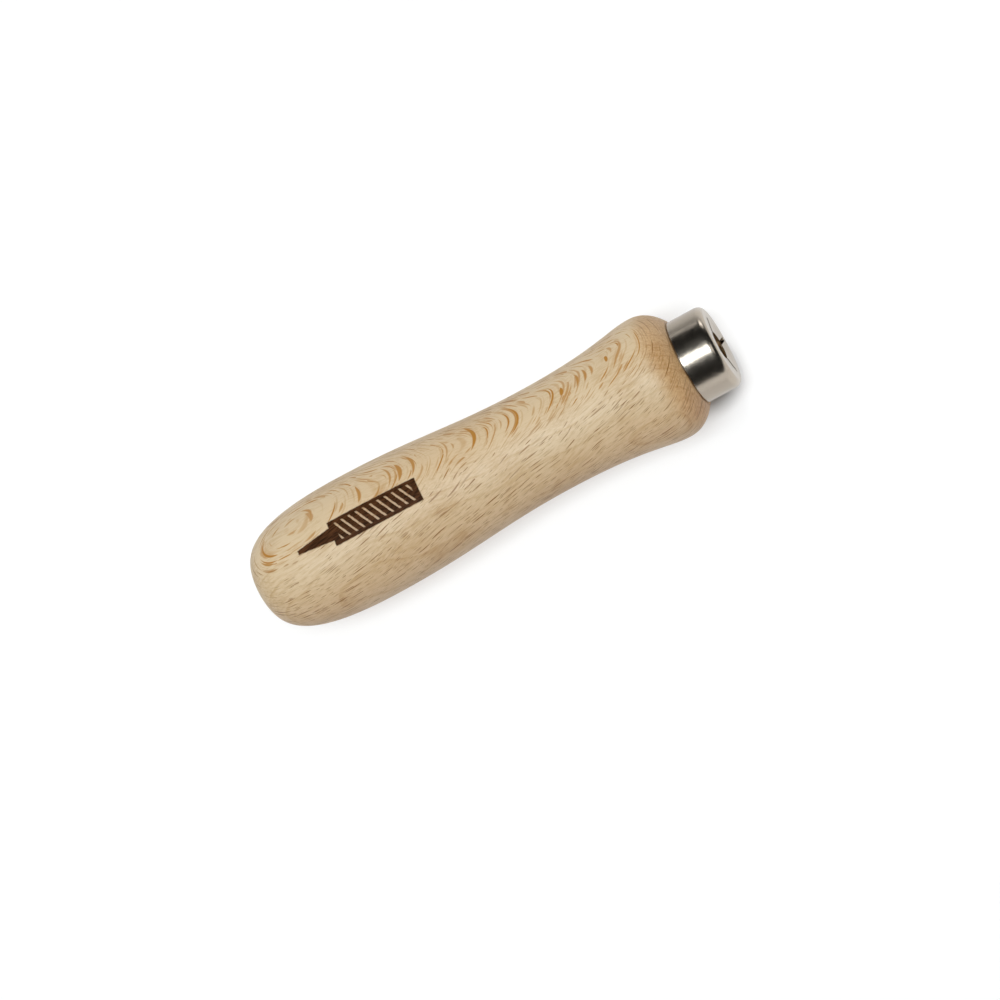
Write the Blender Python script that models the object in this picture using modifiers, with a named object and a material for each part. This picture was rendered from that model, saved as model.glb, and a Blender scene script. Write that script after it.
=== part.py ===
"""Wooden file handle: a turned beech grip and a drawn steel ferrule with claws.

The handle lies on its side along X with the ferrule at +X. The origin is on the surface it
lies on, below the middle of its length. Everything is in metres.

Each piece is turned upright, about its own Z axis with the ferrule end at the top, and is
then laid down so that its Z axis points along world +X.
"""

import math

import bmesh
import bpy
from mathutils import Matrix, Vector
from mathutils.geometry import interpolate_bezier

# Driving dimensions of the whole handle.
LENGTH = 0.110
BELLY_RADIUS = 0.0136
WAIST_RADIUS = 0.0114
FLARE_RADIUS = 0.01365

# Where the grip's outline is widest or narrowest, measured from the middle of the handle.
BELLY_Z = -0.030
WAIST_Z = 0.0133
FLARE_Z = 0.0404

# How far each curve of the outline runs along its end directions.
BUTT_PULL = 0.0068
BELLY_PULL = 0.019
WAIST_PULL_DOWN = 0.0166
WAIST_PULL_UP = 0.0182
FLARE_PULL_DOWN = 0.0052
FLARE_PULL_UP = 0.0025

# The shoulder that the ferrule stops against.
SHOULDER_Z = 0.0469
SHOULDER_RADIUS = 0.0098
SHOULDER_PULL = Vector((0.0026, 0.0, -0.0018))

# The ferrule: a cup of steel sheet whose closed end is cut into claws.
FERRULE_RADIUS = 0.00925
SHEET = 0.0006
END_FILLET = 0.0013
END_FILLET_LENGTH = 0.0018
CLAW_BEND_RADIUS = 0.0010
CLAW_BEND_START = 0.0062
CLAW_ANGLE = math.radians(8.0)
CLAW_TIP_RADIUS = 0.00305
SLOT_WIDTH = 0.0010
SLOT_REACH = 0.0065
SLOT_DEPTH = 0.0035
CROSS_TURN = math.radians(8.0)

# The tang's seat in the wood.
BORE_RADIUS = 0.00325
BORE_DEPTH = 0.045
BORE_POINT = 0.0015
MOUTH_RADIUS = 0.0064
MOUTH_DEPTH = 0.0010
TENON_CHAMFER = 0.0006

# Room left between the grip and the ferrule, where the real ones press together.
GAP = 0.0003

# Facets around each turned piece. One facet of the grip faces straight down.
GRIP_FACETS = 32
FERRULE_FACETS = 48
FILLET_STEPS = 5
CURVE_POINTS = 9
SLOT_END_FACETS = 24
MERGE = 0.00001
SHARP_ANGLE = math.radians(32.0)

END_Z = LENGTH / 2
AXIS_HEIGHT = FLARE_RADIUS * math.cos(math.pi / GRIP_FACETS)


def clear_scene():
    for obj in list(bpy.data.objects):
        bpy.data.objects.remove(obj, do_unlink=True)


def new_collection(name):
    collection = bpy.data.collections.new(name)
    bpy.context.scene.collection.children.link(collection)
    return collection


def material(name, colour, roughness, metallic):
    result = bpy.data.materials.new(name)
    result.use_nodes = True
    shader = result.node_tree.nodes["Principled BSDF"]
    shader.inputs["Base Color"].default_value = (*colour, 1.0)
    shader.inputs["Roughness"].default_value = roughness
    shader.inputs["Metallic"].default_value = metallic
    return result


def curve(start, start_pull, end_pull, end):
    """Points of one smooth stretch of an outline, from start to end."""
    return interpolate_bezier(start, start + start_pull, end + end_pull, end, CURVE_POINTS)


def arc(centre, outwards, upwards, start_angle, end_angle):
    """Points of a round corner of an outline, with its sizes out from the axis and along it."""
    points = []
    for step in range(FILLET_STEPS + 1):
        angle = start_angle + (end_angle - start_angle) * step / FILLET_STEPS
        corner = Vector((outwards * math.cos(angle), 0.0, upwards * math.sin(angle)))
        points.append(centre + corner)
    return points


def at(radius, z):
    return Vector((radius, 0.0, z))


def without_repeats(points):
    kept = [points[0]]
    for point in points[1:]:
        if (point - kept[-1]).length > MERGE:
            kept.append(point)
    return kept


def turned(name, outline, facets, is_ring, collection):
    """A solid turned about Z from an outline that runs down its outer side."""
    half_facet = Matrix.Rotation(math.pi / facets, 3, "Z")
    outline = [half_facet @ point for point in without_repeats(outline)]
    edges = [(i, i + 1) for i in range(len(outline) - 1)]
    if is_ring:
        edges.append((len(outline) - 1, 0))
    mesh = bpy.data.meshes.new(name)
    mesh.from_pydata(outline, edges, [])
    obj = bpy.data.objects.new(name, mesh)
    collection.objects.link(obj)
    screw = obj.modifiers.new("turning", "SCREW")
    screw.axis = "Z"
    screw.angle = math.tau
    screw.steps = facets
    screw.render_steps = facets
    screw.use_merge_vertices = True
    screw.merge_threshold = MERGE
    return obj


def lay_down(obj):
    """Turns the upright piece so that its Z axis points along +X, at the height it lies at."""
    obj.rotation_euler = (0.0, math.pi / 2, 0.0)
    obj.location = (0.0, 0.0, AXIS_HEIGHT)


def finish(obj, surface):
    """Makes the modifiers' result the piece's own mesh, smooth except at its real edges."""
    bpy.context.view_layer.update()
    evaluated = obj.evaluated_get(bpy.context.evaluated_depsgraph_get())
    mesh = bpy.data.meshes.new_from_object(evaluated)
    mesh.name = obj.name
    obj.modifiers.clear()
    obj.data = mesh
    mesh.shade_smooth()
    mesh.set_sharp_from_angle(angle=SHARP_ANGLE)
    mesh.materials.clear()
    mesh.materials.append(surface)


def grip_side():
    """The grip's outer side, from the shoulder down to the middle of the butt."""
    shoulder = at(SHOULDER_RADIUS, SHOULDER_Z)
    flare = at(FLARE_RADIUS, FLARE_Z)
    waist = at(WAIST_RADIUS, WAIST_Z)
    belly = at(BELLY_RADIUS, BELLY_Z)
    butt = at(0.0, -END_Z)
    up = Vector((0.0, 0.0, 1.0))
    out = Vector((1.0, 0.0, 0.0))
    to_end = BELLY_Z + END_Z
    return [
        *curve(shoulder, SHOULDER_PULL, up * FLARE_PULL_UP, flare),
        *curve(flare, -up * FLARE_PULL_DOWN, up * WAIST_PULL_UP, waist),
        *curve(waist, -up * WAIST_PULL_DOWN, up * BELLY_PULL, belly),
        *curve(belly, -up * to_end, out * BUTT_PULL, butt),
    ]


def make_grip(collection):
    """The turned grip, with the tenon inside the ferrule and the blind bore for the tang."""
    tenon_radius = FERRULE_RADIUS - SHEET - GAP
    tenon_end = END_Z - SHEET - GAP
    bore_end = tenon_end - BORE_DEPTH
    outline = [
        at(0.0, bore_end - BORE_POINT),
        at(BORE_RADIUS, bore_end),
        at(BORE_RADIUS, tenon_end - MOUTH_DEPTH),
        at(MOUTH_RADIUS, tenon_end),
        at(tenon_radius - TENON_CHAMFER, tenon_end),
        at(tenon_radius, tenon_end - TENON_CHAMFER),
        at(tenon_radius, SHOULDER_Z),
        *grip_side(),
    ]
    grip = turned("wooden_grip", outline, GRIP_FACETS, False, collection)
    lay_down(grip)
    finish(grip, material("beech", (0.70, 0.51, 0.31), 0.55, 0.0))


def ferrule_outline():
    """The sheet's outline: out from a claw's tip, down the outside, and back up inside."""
    inner_radius = FERRULE_RADIUS - SHEET
    fillet_centre = at(FERRULE_RADIUS - END_FILLET, END_Z - END_FILLET_LENGTH)
    inner_fillet = END_FILLET - SHEET
    inner_length = END_FILLET_LENGTH - SHEET
    inner_bend_radius = CLAW_BEND_RADIUS - SHEET
    bend_centre = at(CLAW_BEND_START, END_Z - CLAW_BEND_RADIUS)
    upright = math.pi / 2
    bend_end = upright + CLAW_ANGLE
    outer_bend = arc(bend_centre, CLAW_BEND_RADIUS, CLAW_BEND_RADIUS, bend_end, upright)
    inner_bend = arc(bend_centre, inner_bend_radius, inner_bend_radius, upright, bend_end)
    slope = Vector((-math.cos(CLAW_ANGLE), 0.0, -math.sin(CLAW_ANGLE)))
    claw_length = (outer_bend[0].x - CLAW_TIP_RADIUS) / math.cos(CLAW_ANGLE)
    under_length = (inner_bend[-1].x - CLAW_TIP_RADIUS) / math.cos(CLAW_ANGLE)
    return [
        outer_bend[0] + slope * claw_length,
        *outer_bend,
        *arc(fillet_centre, END_FILLET, END_FILLET_LENGTH, upright, 0.0),
        at(FERRULE_RADIUS, SHOULDER_Z + GAP),
        at(inner_radius, SHOULDER_Z + GAP),
        *arc(fillet_centre, inner_fillet, inner_length, 0.0, upright),
        *inner_bend,
        inner_bend[-1] + slope * under_length,
    ]


def slot_cutter(name, turn, collection):
    """A bar with round ends that cuts one pair of slots right across the closed end."""
    end_radius = SLOT_WIDTH / 2
    shape = bmesh.new()
    for side in (-1.0, 1.0):
        for z in (END_Z - SLOT_DEPTH, END_Z + SLOT_WIDTH):
            rim = Matrix.Translation((side * (SLOT_REACH - end_radius), 0.0, z))
            bmesh.ops.create_circle(
                shape, segments=SLOT_END_FACETS, radius=end_radius, matrix=rim
            )
    hull = bmesh.ops.convex_hull(shape, input=shape.verts)
    inside = {v for v in hull["geom_interior"] if isinstance(v, bmesh.types.BMVert)}
    bmesh.ops.delete(shape, geom=list(inside), context="VERTS")
    bmesh.ops.rotate(shape, verts=shape.verts, matrix=Matrix.Rotation(turn, 3, "Z"))
    bmesh.ops.recalc_face_normals(shape, faces=shape.faces)
    mesh = bpy.data.meshes.new(name)
    shape.to_mesh(mesh)
    shape.free()
    cutter = bpy.data.objects.new(name, mesh)
    collection.objects.link(cutter)
    cutter.hide_render = True
    cutter.display_type = "WIRE"
    lay_down(cutter)
    return cutter


def make_ferrule(collection, cutters):
    """The drawn cup, its closed end cut by a cross of slots into four claws."""
    ferrule = turned("ferrule", ferrule_outline(), FERRULE_FACETS, True, collection)
    lay_down(ferrule)
    for number in range(2):
        turn = CROSS_TURN + number * math.pi / 2
        cut = ferrule.modifiers.new(f"slots_{number + 1}", "BOOLEAN")
        cut.operation = "DIFFERENCE"
        cut.solver = "EXACT"
        cut.object = slot_cutter(f"slot_cutter_{number + 1}", turn, cutters)
    finish(ferrule, material("nickel_plated_steel", (0.66, 0.61, 0.56), 0.18, 1.0))


clear_scene()
handle = new_collection("file_handle")
slot_cutters = new_collection("cutters")
make_grip(handle)
make_ferrule(handle, slot_cutters)
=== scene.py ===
"""Looks of the wooden file handle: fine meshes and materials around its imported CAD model.

The frame is in metres, with the handle lying along X and its ferrule at +X. Textures are
worked out in millimetres, in the wood's own directions.
"""

import math

import bpy
from mathutils import Matrix, Vector
from mathutils.geometry import interpolate_bezier


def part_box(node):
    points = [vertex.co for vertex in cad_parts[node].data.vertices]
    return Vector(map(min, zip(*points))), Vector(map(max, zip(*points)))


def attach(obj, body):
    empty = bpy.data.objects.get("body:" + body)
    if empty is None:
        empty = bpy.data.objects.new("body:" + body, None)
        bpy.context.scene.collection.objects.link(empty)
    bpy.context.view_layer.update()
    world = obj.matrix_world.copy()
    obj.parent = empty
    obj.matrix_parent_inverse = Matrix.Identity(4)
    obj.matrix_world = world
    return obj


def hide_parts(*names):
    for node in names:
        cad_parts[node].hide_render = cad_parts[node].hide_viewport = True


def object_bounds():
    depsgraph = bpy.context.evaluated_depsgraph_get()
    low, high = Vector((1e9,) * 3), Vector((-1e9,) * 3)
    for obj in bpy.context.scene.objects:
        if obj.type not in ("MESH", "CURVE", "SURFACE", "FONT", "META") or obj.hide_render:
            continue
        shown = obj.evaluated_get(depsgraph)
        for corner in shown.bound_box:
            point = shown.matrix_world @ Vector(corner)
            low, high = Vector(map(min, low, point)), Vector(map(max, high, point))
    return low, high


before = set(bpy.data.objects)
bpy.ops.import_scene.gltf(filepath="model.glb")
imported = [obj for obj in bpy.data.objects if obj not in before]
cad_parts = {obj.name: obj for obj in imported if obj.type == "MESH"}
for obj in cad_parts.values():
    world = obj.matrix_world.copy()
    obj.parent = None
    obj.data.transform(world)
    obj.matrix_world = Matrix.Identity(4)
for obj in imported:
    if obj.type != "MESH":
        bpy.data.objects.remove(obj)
cad_low, cad_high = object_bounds()
grip_low, grip_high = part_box("wooden_grip")
ferrule_low, ferrule_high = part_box("ferrule")

AXIS_HEIGHT = (ferrule_low[2] + ferrule_high[2]) / 2
END_X = cad_high[0]
BUTT_X = cad_low[0]


# ---------------------------------------------------------------- shader nodes


class Graph:
    """Short ways to add nodes to a material, light or world.

    Inputs are sockets or plain values.
    """

    def __init__(self, owner):
        owner.use_nodes = True
        self.nodes = owner.node_tree.nodes
        self.links = owner.node_tree.links

    def put(self, value, socket):
        if isinstance(value, bpy.types.NodeSocket):
            self.links.new(value, socket)
        else:
            socket.default_value = value

    def math(self, operation, *values):
        node = self.nodes.new("ShaderNodeMath")
        node.operation = operation
        for value, socket in zip(values, node.inputs):
            self.put(value, socket)
        return node.outputs[0]

    def vector(self, operation, *values):
        node = self.nodes.new("ShaderNodeVectorMath")
        node.operation = operation
        for value, socket in zip(values, node.inputs):
            self.put(value, socket)
        is_number = operation in ("DOT_PRODUCT", "LENGTH")
        return node.outputs["Value" if is_number else "Vector"]

    def total(self, *values):
        result = values[0]
        for value in values[1:]:
            result = self.math("ADD", result, value)
        return result

    def product(self, *values):
        result = values[0]
        for value in values[1:]:
            result = self.math("MULTIPLY", result, value)
        return result

    def largest(self, *values):
        result = values[0]
        for value in values[1:]:
            result = self.math("MAXIMUM", result, value)
        return result

    def square(self, value):
        return self.math("MULTIPLY", value, value)

    def ramp(self, value, start, end):
        """Goes smoothly from one (value, result) to another, and stays level outside them."""
        node = self.nodes.new("ShaderNodeMapRange")
        node.interpolation_type = "SMOOTHSTEP"
        self.put(value, node.inputs["Value"])
        node.inputs["From Min"].default_value, node.inputs["To Min"].default_value = start
        node.inputs["From Max"].default_value, node.inputs["To Max"].default_value = end
        return node.outputs["Result"]

    def step(self, value, start, end):
        """Rises smoothly from 0 at start to 1 at end. The start may be the higher of the two."""
        return self.ramp(value, (start, 0.0), (end, 1.0))

    def inside(self, depth, edge):
        """1 where depth is well above 0, 0 well below, across a soft edge of this width."""
        node = self.nodes.new("ShaderNodeMath")
        node.operation = "MULTIPLY_ADD"
        node.use_clamp = True
        self.put(depth, node.inputs[0])
        node.inputs[1].default_value = 1.0 / edge
        node.inputs[2].default_value = 0.5
        return node.outputs[0]

    def combine(self, x, y, z):
        node = self.nodes.new("ShaderNodeCombineXYZ")
        for value, socket in zip((x, y, z), node.inputs):
            self.put(value, socket)
        return node.outputs[0]

    def split(self, vector):
        node = self.nodes.new("ShaderNodeSeparateXYZ")
        self.put(vector, node.inputs[0])
        return node.outputs

    def noise(self, vector, scale, detail, roughness=0.5):
        node = self.nodes.new("ShaderNodeTexNoise")
        self.put(vector, node.inputs["Vector"])
        node.inputs["Scale"].default_value = scale
        node.inputs["Detail"].default_value = detail
        node.inputs["Roughness"].default_value = roughness
        return node.outputs

    def between(self, factor, first, second):
        """A number that goes from first to second as factor goes from 0 to 1."""
        node = self.nodes.new("ShaderNodeMix")
        self.put(factor, node.inputs["Factor"])
        self.put(first, node.inputs["A"])
        self.put(second, node.inputs["B"])
        return node.outputs[0]

    def mix(self, factor, first, second, kind="MIX"):
        """The same for colours, whose sockets come after the node's other ones."""
        node = self.nodes.new("ShaderNodeMix")
        node.data_type = "RGBA"
        node.blend_type = kind
        node.clamp_factor = True
        self.put(factor, node.inputs[0])
        self.put(first, node.inputs[6])
        self.put(second, node.inputs[7])
        return node.outputs[2]

    def bump(self, height, depth, after=None):
        node = self.nodes.new("ShaderNodeBump")
        node.inputs["Strength"].default_value = 1.0
        node.inputs["Distance"].default_value = depth
        self.put(height, node.inputs["Height"])
        if after is not None:
            self.put(after, node.inputs["Normal"])
        return node.outputs[0]


def plain(name, colour, roughness, metallic):
    result = bpy.data.materials.new(name)
    result.use_nodes = True
    shader = result.node_tree.nodes["Principled BSDF"]
    shader.inputs["Base Color"].default_value = (*colour, 1.0)
    shader.inputs["Roughness"].default_value = roughness
    shader.inputs["Metallic"].default_value = metallic
    return result


# ---------------------------------------------------------------- camera, floor and light

# The camera's angles, how far off it stands, how wide a view it takes in at that distance,
# and how far the view's middle lies from the handle's.
VIEW_TILT = math.radians(10.95)
VIEW_TURN = math.radians(28.31)
VIEW_DISTANCE = 0.95
VIEW_WIDTH = 0.2072
SENSOR_WIDTH = 36.0
FRAME_RIGHT = 0.0021
FRAME_UP = -0.0063

FLOOR_HALF_SIZE = 3.0
FLOOR_COLOUR = 0.44
FLOOR_GLOW = 0.57
WORLD_LIGHT = 0.009

# The floor as metal reflects it, painted dimmer away from the handle, as (place across the
# handle, brightness), near and far.
REFLECTED_NEAR = (0.01, 0.85)
REFLECTED_FAR = (0.12, 0.36)

# The floor's glow is raised past the ferrule as painted light, as (place along the handle,
# share of the glow).
PAINTED_GLOW_BEFORE = (0.050, 1.0)
PAINTED_GLOW_PAST = (0.060, 1.4)

# The painted shade right under the handle, where the floor's glow is cut, lies around a line:
# how the floor is shifted and turned to line up with it, its half length, and how far from it
# the shade is full and ends.
SHADE_SHIFT = (-0.0052, 0.0004, 0.0)
SHADE_TURN = math.radians(4.6)
SHADE_HALF_LENGTH = 0.0415
SHADE_CORE = 0.0042
SHADE_EDGE = 0.0100

# The way back to the camera, and the view's own directions before it is turned.
BACK = Vector((math.sin(VIEW_TILT), 0.0, math.cos(VIEW_TILT)))
ALONG = Vector((math.cos(VIEW_TILT), 0.0, -math.sin(VIEW_TILT)))
ACROSS = Vector((0.0, 1.0, 0.0))


def make_camera():
    """Nearly straight above the handle, a little to its ferrule's side, and turned."""
    right = ALONG * math.cos(VIEW_TURN) - ACROSS * math.sin(VIEW_TURN)
    up = ALONG * math.sin(VIEW_TURN) + ACROSS * math.cos(VIEW_TURN)
    aim = Vector((0.0, 0.0, AXIS_HEIGHT)) + right * FRAME_RIGHT + up * FRAME_UP
    data = bpy.data.cameras.new("camera")
    data.sensor_width = SENSOR_WIDTH
    data.lens = SENSOR_WIDTH * VIEW_DISTANCE / VIEW_WIDTH
    data.clip_end = 20.0
    camera = bpy.data.objects.new("camera", data)
    bpy.context.scene.collection.objects.link(camera)
    turn = Matrix((right, up, BACK)).transposed()
    camera.matrix_world = Matrix.Translation(aim + BACK * VIEW_DISTANCE) @ turn.to_4x4()
    bpy.context.scene.camera = camera


def make_flat(name, corners, surface):
    """A flat four-sided piece of the studio."""
    mesh = bpy.data.meshes.new(name)
    mesh.from_pydata(corners, [], [(0, 1, 2, 3)])
    mesh.materials.append(surface)
    flat = bpy.data.objects.new(name, mesh)
    bpy.context.scene.collection.objects.link(flat)
    return flat


def clear_of_painted_shade(graph, place):
    """Painted shade on the floor: 0 right under the handle, 1 away from it."""
    lined_up = graph.nodes.new("ShaderNodeMapping")
    graph.put(place, lined_up.inputs["Vector"])
    lined_up.inputs["Location"].default_value = SHADE_SHIFT
    lined_up.inputs["Rotation"].default_value = (0.0, 0.0, SHADE_TURN)
    beside = graph.vector("ABSOLUTE", lined_up.outputs["Vector"])
    past_end = graph.vector("SUBTRACT", beside, (SHADE_HALF_LENGTH, 0.0, 0.0))
    offset = graph.vector("MAXIMUM", past_end, (0.0, 0.0, 0.0))
    return graph.step(graph.vector("LENGTH", offset), SHADE_CORE, SHADE_EDGE)


def make_floor():
    """A white floor, with painted shade right under the handle and painted light a little past
    the ferrule.

    What things reflect of it is painted dimmer away from the handle on its +Y side.
    """
    surface = plain("pale_floor", (0.8, 0.8, 0.8), 0.9, 0.0)
    graph = Graph(surface)
    shader = graph.nodes["Principled BSDF"]
    shader.inputs["Specular IOR Level"].default_value = 0.0
    shader.inputs["Emission Color"].default_value = (1.0, 1.0, 1.0, 1.0)
    place = graph.nodes.new("ShaderNodeTexCoord").outputs["Object"]
    x, y, _ = graph.split(place)
    # Painted shade in reflections: what glossy rays see of the floor dims on its +Y side.
    reflected = graph.nodes.new("ShaderNodeLightPath").outputs["Is Glossy Ray"]
    level = graph.between(reflected, 1.0, graph.ramp(y, REFLECTED_NEAR, REFLECTED_FAR))
    # Painted shade right under the handle and painted light past the ferrule, in the floor's glow.
    glow = graph.product(clear_of_painted_shade(graph, place), graph.ramp(x, PAINTED_GLOW_BEFORE, PAINTED_GLOW_PAST))
    graph.put(graph.product(level, FLOOR_COLOUR), shader.inputs["Base Color"])
    graph.put(graph.product(glow, FLOOR_GLOW, level), shader.inputs["Emission Strength"])
    size = FLOOR_HALF_SIZE
    corners = [(-size, -size, 0.0), (size, -size, 0.0), (size, size, 0.0), (-size, size, 0.0)]
    floor = make_flat("floor", corners, surface)


def make_light(name, x_range, y_range, height, energy, colour):
    """A rectangular light facing down."""
    data = bpy.data.lights.new(name, "AREA")
    data.color = colour
    data.shape = "RECTANGLE"
    data.size = x_range[1] - x_range[0]
    data.size_y = y_range[1] - y_range[0]
    data.energy = energy
    light = bpy.data.objects.new(name, data)
    light.location = (sum(x_range) / 2, sum(y_range) / 2, height)
    bpy.context.scene.collection.objects.link(light)
    return light


def soft_edges(graph, place, first_edge, last_edge):
    """Fades a light out over these shares of its width, at its first and last edge."""
    return graph.product(
        graph.step(place, 0.0, first_edge), graph.step(place, 1.0, 1.0 - last_edge)
    )


def make_lights():
    """A graded softbox above the handle's +Y side, and a wide fill that metal doesn't show."""
    softbox = make_light(
        "softbox", (-0.80, 0.55), (-0.05, 0.39), 1.3, 22.5, (0.90, 0.96, 1.0)
    )
    graph = Graph(softbox.data)
    u, v, _ = graph.split(graph.nodes.new("ShaderNodeNewGeometry").outputs["Parametric"])
    strength = graph.product(soft_edges(graph, u, 0.2, 0.3), soft_edges(graph, v, 0.2, 0.4))
    graph.put(strength, graph.nodes["Emission"].inputs["Strength"])
    fill = make_light("fill", (-1.5, 1.5), (-1.1, 1.9), 1.5, 26.0, (1.0, 0.98, 0.95))
    fill.visible_glossy = False


def make_world():
    """White where the camera looks past the floor, and nearly dark to everything else."""
    world = bpy.data.worlds.new("studio")
    bpy.context.scene.world = world
    graph = Graph(world)
    background = graph.nodes["Background"]
    background.inputs["Color"].default_value = (1.0, 1.0, 1.0, 1.0)
    seen = graph.nodes.new("ShaderNodeLightPath").outputs["Is Camera Ray"]
    graph.put(graph.math("MAXIMUM", WORLD_LIGHT, seen), background.inputs["Strength"])
    bpy.context.scene.view_settings.view_transform = "Standard"


def make_card(name, start, end, low, high, strength):
    """A white card standing near the handle, which only the metal shows."""
    surface = plain(name, (0.8, 0.8, 0.8), 0.9, 0.0)
    shader = surface.node_tree.nodes["Principled BSDF"]
    shader.inputs["Emission Color"].default_value = (1.0, 1.0, 1.0, 1.0)
    shader.inputs["Emission Strength"].default_value = strength
    corners = [(*start, low), (*end, low), (*end, high), (*start, high)]
    card = make_flat(name, corners, surface)
    card.visible_camera = False
    card.visible_diffuse = False
    card.visible_shadow = False


make_camera()
make_floor()
make_lights()
make_world()
make_card("near_card", (-1.5, -0.6), (1.5, -0.6), 0.0, 0.25, 0.35)
make_card("far_card", (-1.5, 0.6), (0.1, 0.6), 0.0, 0.12, 0.08)
make_card("corner_card", (0.24, 0.6), (0.52, 0.6), 0.0, 0.16, 2.5)
make_card("end_card", (1.3, -0.3), (1.3, 0.45), 1.35, 2.8, 1.1)


# ---------------------------------------------------------------- meshes

# The grip's outline, as the CAD grip has it: places as (distance from the handle's middle,
# radius), and how far the curves between them run along their end directions.
BELLY = (-0.030, 0.0136)
WAIST = (0.0133, 0.0114)
FLARE = (0.0404, 0.01365)
SHOULDER = (0.0469, 0.0098)
SHOULDER_PULL = Vector((-0.0018, 0.0026))
FLARE_PULLS = (0.0025, 0.0052)
WAIST_PULLS = (0.0182, 0.0166)
BELLY_PULL = 0.019
BUTT_PULL = 0.0068

# The rounding of the shoulder's corner at the ferrule.
LIP = 0.00012

# The ferrule's sheet and claws, as the CAD ferrule has them. CONTACT is the gap that the
# ferrule leaves to the shoulder here, and GAP the one that the CAD's tenon leaves to it.
FERRULE_RADIUS = (ferrule_high[2] - ferrule_low[2]) / 2
SHEET = 0.0006
END_FILLET = 0.0013
END_FILLET_LENGTH = 0.0018
BEND_RADIUS = 0.0010
BEND_START = 0.0062
CLAW_ANGLE = math.radians(8.0)
CLAW_TIP = 0.00305
SLOT_WIDTH = 0.0010
SLOT_REACH = 0.0065
CROSS_TURN = math.radians(8.0)
GAP = 0.0003
CONTACT = 0.00005

# The tenon and the tang's bore.
BORE_RADIUS = 0.00325
BORE_DEPTH = 0.045
BORE_POINT = 0.0015
MOUTH_RADIUS = 0.0064
MOUTH_DEPTH = 0.0010
TENON_CHAMFER = 0.0006


def curve(start, start_pull, end_pull, end, count):
    """Points (x, radius) of one smooth stretch of an outline."""
    knots = [Vector(start), Vector(start) + start_pull, Vector(end) + end_pull, Vector(end)]
    return [p.to_2d() for p in interpolate_bezier(*(k.to_3d() for k in knots), count)]


def arc(centre, sizes, start_angle, end_angle, steps):
    """Points (x, radius) of a round corner, sized along the axis and out from it."""
    points = []
    for step in range(steps + 1):
        angle = start_angle + (end_angle - start_angle) * step / steps
        corner = Vector((sizes[0] * math.sin(angle), sizes[1] * math.cos(angle)))
        points.append(Vector(centre) + corner)
    return points


def straight(start, end, count):
    return [Vector(start).lerp(Vector(end), i / count) for i in range(count + 1)]


def without_repeats(points):
    kept = [points[0]]
    for point in points[1:]:
        if (point - kept[-1]).length > 1e-6:
            kept.append(point)
    return kept


def new_piece(name, points, faces):
    mesh = bpy.data.meshes.new(name)
    mesh.from_pydata(points, [], faces)
    mesh.update()
    piece = bpy.data.objects.new(name, mesh)
    bpy.context.scene.collection.objects.link(piece)
    return piece


def around_axis(x, radius, angle):
    """A point at an angle from straight up, turning towards +Y."""
    return Vector((x, radius * math.sin(angle), AXIS_HEIGHT + radius * math.cos(angle)))


def turned(name, outline, facets):
    """A closed solid turned about the handle's axis. The outline starts and ends on the axis."""
    outline = without_repeats(outline)
    points = [around_axis(outline[0].x, 0.0, 0.0)]
    for x, radius in outline[1:-1]:
        points += [around_axis(x, radius, math.tau * k / facets) for k in range(facets)]
    points.append(around_axis(outline[-1].x, 0.0, 0.0))
    faces = []
    rings = len(outline) - 2
    for ring in range(rings - 1):
        for k in range(facets):
            a = 1 + ring * facets + k
            b = 1 + ring * facets + (k + 1) % facets
            faces.append((a, b, b + facets, a + facets))
    last = 1 + (rings - 1) * facets
    for k in range(facets):
        after = (k + 1) % facets
        faces.append((0, 1 + after, 1 + k))
        faces.append((len(points) - 1, last + k, last + after))
    return new_piece(name, points, faces)


def grip_outline():
    """From the bore's bottom out over the tenon, then along the outer side to the butt."""
    along = Vector((1.0, 0.0))
    out = Vector((0.0, 1.0))
    tenon_radius = FERRULE_RADIUS - SHEET - GAP
    tenon_end = grip_high[0]
    bore_end = tenon_end - BORE_DEPTH
    shoulder = Vector(SHOULDER)
    to_butt = BELLY[0] - BUTT_X
    return [
        Vector((bore_end - BORE_POINT, 0.0)),
        *straight((bore_end, BORE_RADIUS), (tenon_end - MOUTH_DEPTH, BORE_RADIUS), 20),
        *straight((tenon_end - MOUTH_DEPTH, BORE_RADIUS), (tenon_end, MOUTH_RADIUS), 6),
        *straight((tenon_end, MOUTH_RADIUS), (tenon_end, tenon_radius - TENON_CHAMFER), 3),
        Vector((tenon_end - TENON_CHAMFER, tenon_radius)),
        Vector((SHOULDER[0], tenon_radius)),
        Vector((SHOULDER[0], SHOULDER[1] - LIP)),
        *arc(shoulder - Vector((LIP, LIP)), (LIP, LIP), math.radians(90.0), math.radians(35.0), 3),
        *curve(shoulder, SHOULDER_PULL, along * FLARE_PULLS[0], FLARE, 28),
        *curve(FLARE, -along * FLARE_PULLS[1], along * WAIST_PULLS[0], WAIST, 40),
        *curve(WAIST, -along * WAIST_PULLS[1], along * BELLY_PULL, BELLY, 40),
        *curve(BELLY, -along * to_butt, out * BUTT_PULL, (BUTT_X, 0.0), 64),
    ]


def slot_edge(radius):
    """Half the angle that a slot takes up at this radius. Its end is round."""
    half = SLOT_WIDTH / 2
    end_centre = SLOT_REACH - half
    if radius >= SLOT_REACH:
        return 0.0
    if radius <= end_centre:
        return math.asin(half / radius)
    return math.acos((radius**2 + end_centre**2 - half**2) / (2 * radius * end_centre))


def sheet_x(radius):
    """How far along the axis the closed end's outer side lies at this radius."""
    centre_x = END_X - BEND_RADIUS
    bend_end = BEND_START - BEND_RADIUS * math.sin(CLAW_ANGLE)
    if radius >= BEND_START:
        return END_X
    if radius >= bend_end:
        return centre_x + math.sqrt(BEND_RADIUS**2 - (BEND_START - radius) ** 2)
    bend_end_x = centre_x + BEND_RADIUS * math.cos(CLAW_ANGLE)
    return bend_end_x - (bend_end - radius) * math.tan(CLAW_ANGLE)


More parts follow.
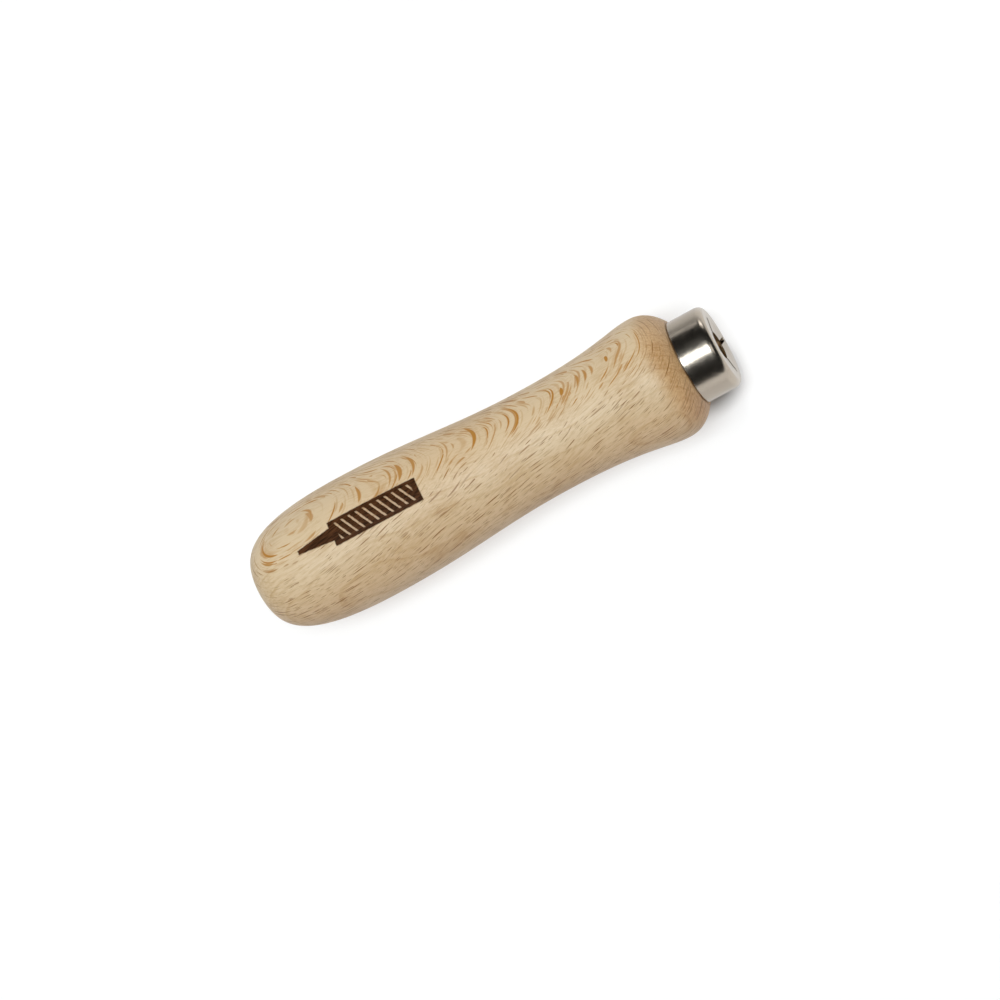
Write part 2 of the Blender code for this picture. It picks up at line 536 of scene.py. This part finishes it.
def ferrule_rings():
    """The sheet's outer side from the claws' tips out and over to the rim, as (x, radius)."""
    half = SLOT_WIDTH / 2
    round_start = SLOT_REACH - half
    fillet_centre = (END_X - END_FILLET_LENGTH, FERRULE_RADIUS - END_FILLET)
    fillet_sizes = (END_FILLET_LENGTH, END_FILLET)
    claw_steps = 14
    slot_end_steps = 12
    radii = [CLAW_TIP + (round_start - CLAW_TIP) * i / claw_steps for i in range(claw_steps)]
    for step in range(slot_end_steps + 1):
        radii.append(round_start + half * math.sin(math.pi / 2 * step / slot_end_steps))
    radii += [SLOT_REACH + (fillet_centre[1] - SLOT_REACH) * i / 4 for i in (1, 2, 3)]
    fillet_end = (fillet_centre[0], FERRULE_RADIUS)
    rim = (SHOULDER[0] + CONTACT, FERRULE_RADIUS)
    return [
        *(Vector((sheet_x(radius), radius)) for radius in radii),
        *arc(fillet_centre, fillet_sizes, math.pi / 2, 0.0, 16),
        *straight(fillet_end, rim, 10)[1:],
    ]


def make_ferrule():
    """The sheet as one surface, open along the slots, thickened inwards and edge-rounded."""
    rings = ferrule_rings()
    steps = 40
    points = []
    faces = []
    for x, radius in rings:
        edge = slot_edge(radius)
        for quarter in range(4):
            start = quarter * math.pi / 2 + CROSS_TURN + edge
            span = math.pi / 2 - 2 * edge
            for k in range(steps + 1):
                points.append(around_axis(x, radius, -(start + span * k / steps)))
    per_ring = 4 * (steps + 1)
    for ring in range(len(rings) - 1):
        for quarter in range(4):
            for k in range(steps):
                a = ring * per_ring + quarter * (steps + 1) + k
                faces.append((a, a + per_ring, a + 1 + per_ring, a + 1))
    ferrule = new_piece("nickel_ferrule", points, faces)
    weld = ferrule.modifiers.new("join", "WELD")
    weld.merge_threshold = 1e-6
    wall = ferrule.modifiers.new("sheet", "SOLIDIFY")
    wall.thickness = SHEET
    wall.offset = -1.0
    wall.use_even_offset = True
    edge_round = ferrule.modifiers.new("edges", "BEVEL")
    edge_round.limit_method = "ANGLE"
    edge_round.angle_limit = math.radians(50.0)
    edge_round.width = 0.00008
    edge_round.segments = 2
    return ferrule


grip = turned("beech_grip", grip_outline(), 160)
ferrule = make_ferrule()
for piece in (grip, ferrule):
    piece.data.shade_smooth()
grip.data.set_sharp_from_angle(angle=math.radians(35.0))


# ---------------------------------------------------------------- materials

# The wood's own directions: along the fibres, along the rays, and across both. The fibres
# rise by 10 degrees from the handle's axis.
RAYS_ACROSS = math.radians(41.0)
FIBRE_RISE = math.radians(10.0)
ACROSS_AXIS = Vector((0.0, math.sin(RAYS_ACROSS), math.cos(RAYS_ACROSS)))
FIBRES = Vector((math.cos(FIBRE_RISE), 0.0, 0.0)) + ACROSS_AXIS * math.sin(FIBRE_RISE)
THROUGH = ACROSS_AXIS * math.cos(FIBRE_RISE) - Vector((math.sin(FIBRE_RISE), 0.0, 0.0))
RAYWARD = THROUGH.cross(FIBRES)

# How the fibres bend towards the ferrule, per square millimetre along the handle.
BEND = 0.0018

# How far the grain wanders, in millimetres, and how far growth rings lie apart.
DRIFT = 2.4
RING_SPACING = 2.7

WOOD_PALE = (0.655, 0.508, 0.322, 1.0)
WOOD_TAN = (0.485, 0.316, 0.148, 1.0)
RAY_GOLD = (0.43, 0.185, 0.020, 1.0)
RAY_BROWN = (0.22, 0.092, 0.012, 1.0)
PORE_BROWN = (0.40, 0.27, 0.15, 1.0)
# Painted shade tint for the wood's -Y side, away from the softbox.
PAINTED_SHADE_TINT = (0.955, 0.87, 0.805, 1.0)
END_TINT = (0.94, 0.79, 0.63, 1.0)
BURNT = (0.022, 0.008, 0.002, 1.0)
BURNT_BROWN = (0.090, 0.034, 0.012, 1.0)
SCORCHED = (0.36, 0.22, 0.12, 1.0)

# Layers of rays: cell sizes along the fibres, along the rays and across, then half sizes of
# the ray in its cell, in millimetres, and how strong the layer is where rays are cut across
# and where their broad sides show, and how rare strong ones are.
RAY_LAYERS = (
    ((4.2, 6.0, 0.60), (2.0, 4.5, 0.095), 1.0, 0.9, 2.2),
    ((2.2, 5.0, 0.44), (0.85, 3.0, 0.058), 1.0, 0.9, 1.9),
    ((4.5, 8.0, 0.27), (2.3, 5.0, 0.055), 0.10, 1.5, 1.3),
)

# Single broad rays: place along the handle in millimetres, angle around it in degrees from
# the top, half sizes as above, strength.
BROAD_RAYS = (
    (2.2, 42.0, 2.6, 4.6, 0.11, 1.0),
    (-4.2, 42.0, 2.2, 3.6, 0.05, 0.7),
    (-11.8, 44.0, 2.2, 3.6, 0.09, 0.9),
    (-14.8, 41.0, 1.8, 2.8, 0.13, 0.9),
    (-17.2, 43.0, 2.2, 3.6, 0.06, 0.8),
    (-35.9, 44.0, 1.5, 1.8, 0.09, 0.7),
    (22.6, 37.0, 0.7, 1.1, 0.15, 1.0),
    (26.6, 40.0, 0.9, 1.9, 0.07, 0.9),
    (28.4, 40.0, 0.9, 1.9, 0.07, 0.9),
    (30.2, 42.0, 0.8, 1.6, 0.06, 0.8),
    (34.0, 42.0, 0.5, 0.9, 0.13, 1.0),
)

# The burnt mark, in millimetres: where its tang and blade start and end along the handle, its
# half heights, its pale teeth, how far around the grip its middle lies from the top line, and
# how soft its edges are and how much they wobble.
TANG_END = -41.4
BLADE_START = -33.2
BLADE_END = -12.6
BLADE_HALF = 2.7
TOOTH_SLANT = 0.55
TOOTH_SPACING = 1.7
TOOTH_HALF_WIDTH = 0.24
TOOTH_HALF_LENGTH = 1.9
MARK_RADIUS = 13.4
MARK_UP = 3.8
MARK_EDGE = 0.22
WOBBLE = 0.22


def wood_place(graph):
    """Places in millimetres from the handle's axis, and the same in the wood's directions."""
    coordinates = graph.nodes.new("ShaderNodeTexCoord")
    centred = graph.vector("SUBTRACT", coordinates.outputs["Object"], (0.0, 0.0, AXIS_HEIGHT))
    place = graph.vector("MULTIPLY", centred, (1000.0, 1000.0, 1000.0))
    drift = graph.vector("SUBTRACT", graph.noise(place, 0.07, 1.0)["Color"], (0.5, 0.5, 0.5))
    drifted = graph.vector("ADD", place, graph.vector("MULTIPLY", drift, (DRIFT, DRIFT, DRIFT)))
    bent = graph.square(graph.math("MAXIMUM", graph.split(place)[0], 0.0))
    steady, along = [
        [graph.vector("DOT_PRODUCT", spot, axis) for axis in (FIBRES, RAYWARD, THROUGH)]
        for spot in (place, drifted)
    ]
    for directions in (steady, along):
        directions[2] = graph.math("MULTIPLY_ADD", bent, -BEND, directions[2])
    normal = coordinates.outputs["Normal"]
    facing = [graph.vector("DOT_PRODUCT", normal, axis) for axis in (FIBRES, RAYWARD, THROUGH)]
    return place, steady, along, facing


def lens(graph, offsets, sizes, edge):
    """A lens-shaped ray about a centre, thinnest across."""
    along, radial, across = offsets
    half_height, half_length, half_width = sizes
    spent = graph.total(
        graph.square(graph.math("DIVIDE", along, half_height)),
        graph.square(graph.math("DIVIDE", radial, half_length)),
    )
    width = graph.product(graph.math("SUBTRACT", 1.0, spent), half_width)
    return graph.inside(graph.math("SUBTRACT", width, graph.math("ABSOLUTE", across)), edge)


def ray_layer(graph, along, broad_side, cell, sizes, cut_strength, broad_strength, rarity):
    """Rays scattered one to a cell, mostly faint and some strong."""
    scaled = graph.combine(*(graph.math("DIVIDE", a, c) for a, c in zip(along, cell)))
    cells = graph.nodes.new("ShaderNodeTexVoronoi")
    cells.inputs["Scale"].default_value = 1.0
    graph.put(scaled, cells.inputs["Vector"])
    off = graph.split(graph.vector("SUBTRACT", scaled, cells.outputs["Position"]))
    offsets = [graph.product(o, c) for o, c in zip(off, cell)]
    chance = graph.split(cells.outputs["Color"])
    size = graph.math("MULTIPLY_ADD", chance[1], 0.8, 0.5)
    sized = [graph.math("DIVIDE", o, size) for o in offsets]
    shape = lens(graph, sized, sizes, sizes[2] * 0.8)
    strength = graph.math(
        "MULTIPLY_ADD", broad_side, broad_strength - cut_strength, cut_strength
    )
    return graph.product(shape, graph.math("POWER", chance[0], rarity), strength)


def grip_radius(x):
    """The grip's outer radius at a place along the handle, both in millimetres."""
    outside = [point for point in grip_outline() if point.y > FERRULE_RADIUS]
    return 1000 * min(outside, key=lambda point: abs(1000 * point.x - x)).y


def broad_ray(graph, steady, ray):
    """One ray at a place on the grip's surface."""
    x, degrees, *sizes, strength = ray
    angle = math.radians(degrees)
    radius = grip_radius(x)
    place = Vector((x, radius * math.sin(angle), radius * math.cos(angle)))
    centre = [place.dot(axis) for axis in (FIBRES, RAYWARD, THROUGH)]
    centre[2] -= BEND * max(x, 0.0) ** 2
    offsets = [graph.math("SUBTRACT", a, c) for a, c in zip(steady, centre)]
    return graph.product(lens(graph, offsets, sizes, 0.05), strength)


def file_mark(graph, place):
    """The burnt mark: a small file with its tang to the left and its teeth left pale.

    Also gives where the wood around its blade is scorched.
    """
    x, y, z = graph.split(place)
    wobble = graph.split(graph.noise(place, 1.3, 2.0)["Color"])
    along = graph.math("MULTIPLY_ADD", wobble[0], WOBBLE, graph.math("SUBTRACT", x, WOBBLE / 2))
    up_side = graph.product(graph.math("ARCTAN2", y, z), MARK_RADIUS)
    centred = graph.math("SUBTRACT", up_side, MARK_UP)
    across = graph.math("MULTIPLY_ADD", wobble[1], WOBBLE, centred)
    side = graph.math("ABSOLUTE", across)

    def span(start, end, softness):
        low = graph.inside(graph.math("SUBTRACT", along, start), softness)
        high = graph.inside(graph.math("SUBTRACT", end, along), softness)
        return graph.product(low, high)

    def band(half_height, softness):
        return graph.inside(graph.math("SUBTRACT", half_height, side), softness)

    blade = graph.product(span(BLADE_START, BLADE_END, MARK_EDGE), band(BLADE_HALF, MARK_EDGE))
    slanted = graph.math("MULTIPLY_ADD", across, TOOTH_SLANT, along)
    repeat = graph.math("PINGPONG", slanted, TOOTH_SPACING / 2)
    tooth = graph.inside(graph.math("SUBTRACT", TOOTH_HALF_WIDTH, repeat), 0.14)
    toothed = graph.product(
        tooth, span(BLADE_START + 1.5, BLADE_END - 1.3, 0.3), band(TOOTH_HALF_LENGTH, 0.25)
    )
    width = graph.math("MULTIPLY_ADD", graph.math("SUBTRACT", along, BLADE_START), 0.12, 1.45)
    tang = graph.product(span(TANG_END, BLADE_START + 0.2, MARK_EDGE), band(width, MARK_EDGE))
    mark = graph.largest(graph.product(blade, graph.math("SUBTRACT", 1.0, toothed)), tang)
    near = graph.product(span(TANG_END - 0.6, BLADE_END + 0.6, 1.0), band(BLADE_HALF + 0.4, 1.0))
    return mark, graph.product(near, blade)


def make_beech():
    surface = plain("beech", (0.5, 0.4, 0.27), 0.47, 0.0)
    graph = Graph(surface)
    shader = graph.nodes["Principled BSDF"]
    place, steady, along, facing = wood_place(graph)
    fibre, radial, across = along

    broad_side = graph.step(graph.math("ABSOLUTE", facing[2]), 0.80, 0.95)

    # The cut shoulder shows darker end grain.
    end_grain = graph.step(facing[0], 0.05, 0.70)

    # Growth rings lie across the rays. Fine streaks and pores run along the fibres.
    ring = graph.math("FRACT", graph.math("DIVIDE", graph.total(radial, 2.0), RING_SPACING))
    late = graph.product(graph.step(ring, 0.78, 0.97), graph.step(ring, 1.0, 0.98))
    stretched = graph.combine(graph.product(fibre, 0.10), radial, across)
    streaks = graph.noise(stretched, 2.6, 4.0, 0.65)["Fac"]
    coarse = graph.noise(graph.combine(graph.product(fibre, 0.3), radial, across), 2.2, 3.0)["Fac"]
    pores = graph.noise(graph.combine(graph.product(fibre, 0.22), radial, across), 5.5, 2.0)["Fac"]
    patches = graph.noise(place, 0.10, 2.0)["Fac"]
    tan = graph.total(
        graph.product(graph.step(streaks, 0.35, 0.70), 0.55),
        graph.product(graph.step(coarse, 0.40, 0.65), end_grain, 0.45),
        graph.product(broad_side, -0.20),
        graph.product(late, graph.math("SUBTRACT", 1.0, broad_side), 0.32),
        graph.product(graph.step(patches, 0.40, 0.70), 0.35),
        -0.10,
    )
    colour = graph.mix(tan, WOOD_PALE, WOOD_TAN)
    speck = graph.product(graph.step(pores, 0.62, 0.80), 0.35)
    colour = graph.mix(speck, colour, PORE_BROWN)

    # Painted shade: the -Y side, away from the softbox, is made a little redder,
    # and its rays stronger there.
    painted_shade_side = graph.step(graph.split(place)[1], 0.0, -12.0)
    colour = graph.mix(painted_shade_side, colour, PAINTED_SHADE_TINT, "MULTIPLY")
    colour = graph.mix(end_grain, colour, END_TINT, "MULTIPLY")

    # Rays are gold where their broad sides show, and brown where they are cut across.
    ray_colour = graph.mix(broad_side, RAY_BROWN, RAY_GOLD)
    layers = [ray_layer(graph, along, broad_side, *layer) for layer in RAY_LAYERS]
    singles = [broad_ray(graph, steady, ray) for ray in BROAD_RAYS]
    # Painted shade: rays are made stronger on the -Y side.
    rays = graph.product(
        graph.largest(*layers, *singles), graph.math("MULTIPLY_ADD", painted_shade_side, 0.35, 1.0)
    )
    colour = graph.mix(rays, colour, ray_colour)

    mark, near = file_mark(graph, place)
    colour = graph.mix(graph.product(near, 0.55), colour, SCORCHED)
    burn = graph.mix(graph.step(streaks, 0.3, 0.7), BURNT, BURNT_BROWN)
    colour = graph.mix(mark, colour, burn)
    graph.put(colour, shader.inputs["Base Color"])

    dull = graph.math("MULTIPLY_ADD", mark, -0.46, 0.5)
    graph.put(dull, shader.inputs["Specular IOR Level"])
    relief = graph.bump(graph.total(streaks, graph.product(pores, 0.6)), 0.00005)
    pressed = graph.bump(graph.math("SUBTRACT", 1.0, mark), 0.00006, relief)
    graph.put(pressed, shader.inputs["Normal"])
    return surface


def make_nickel():
    """Bright nickel plate, a little wavy and hazy."""
    surface = plain("nickel_plate", (0.46, 0.40, 0.33), 0.24, 1.0)
    graph = Graph(surface)
    shader = graph.nodes["Principled BSDF"]
    place = graph.nodes.new("ShaderNodeTexCoord").outputs["Object"]
    haze = graph.noise(place, 700.0, 3.0)["Fac"]
    waves = graph.noise(place, 900.0, 2.0)["Fac"]
    graph.put(graph.math("MULTIPLY_ADD", haze, 0.10, 0.19), shader.inputs["Roughness"])
    graph.put(graph.bump(waves, 0.00002), shader.inputs["Normal"])
    return surface


grip.data.materials.append(make_beech())
ferrule.data.materials.append(make_nickel())

for piece, node, slot in (
    (grip, "wooden_grip", "beech"),
    (ferrule, "ferrule", "nickel_plated_steel"),
):
    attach(piece, "root")
    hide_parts(node)
